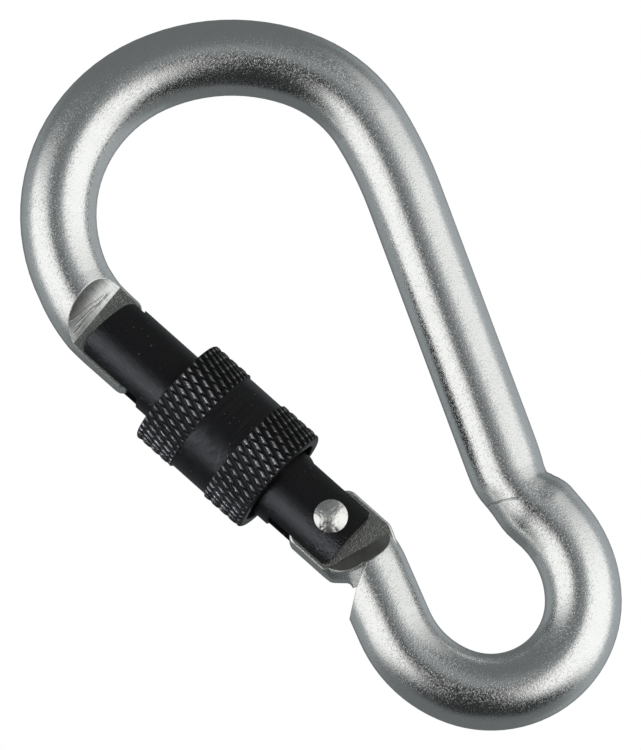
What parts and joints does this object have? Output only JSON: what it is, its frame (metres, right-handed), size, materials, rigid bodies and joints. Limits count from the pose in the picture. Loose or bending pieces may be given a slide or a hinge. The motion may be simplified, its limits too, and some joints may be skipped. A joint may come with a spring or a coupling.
{
  "type": "carabiner",
  "caption": "Pear-shaped round-bar carabiner with a small hooked lower end, a spring-closed hinged gate and a knurled locking sleeve that travels along the gate.",
  "frame": {"origin": "centre of the whole carabiner's bounding box, in its plane of symmetry", "axes": "+Y runs along the closed gate from the hinge to the nose, +X from the gate across the eye to the spine, +Z is the thickness, square to the plane that the bar is bent in"},
  "size_m": [0.0454, 0.0794, 0.012],
  "materials": {
    "satin_aluminium": "bead-blasted satin, clear anodised",
    "black_gate": "black anodised, satin",
    "black_sleeve": "black anodised, diamond knurled",
    "rivet_steel": "polished, lightly worn",
    "spring_steel": "drawn wire",
    "plunger_steel": "turned"
  },
  "bodies": {
    "frame": {"frame_body": "satin_aluminium"},
    "gate": {"gate_barrel": "black_gate", "hinge_rivet": "rivet_steel", "closing_spring": "spring_steel"},
    "plunger": {"spring_plunger": "plunger_steel"},
    "sleeve": {"locking_sleeve": "black_sleeve"}
  },
  "joints": [
    {"name": "gate_swing", "type": "hinge", "parent": "frame", "child": "gate", "pos_m": [-0.01438, -0.00956, 0], "axis": [0, 0, -1], "range_deg": [0, 30], "stiffness_Nm_per_rad": 0.115, "springref_deg": -20.05},
    {"name": "plunger_slide", "type": "slide", "parent": "gate", "child": "plunger", "axis": [0, 1, 0], "range_m": [0, 0.00085], "deforming": ["closing_spring"]},
    {"name": "sleeve_slide", "type": "slide", "parent": "gate", "child": "sleeve", "axis": [0, 1, 0], "range_m": [0, 0.0103]}
  ],
  "couplings": [
    {"joint": "plunger_slide", "follows": "gate_swing", "m_per_rad": 0.00142}
  ]
}
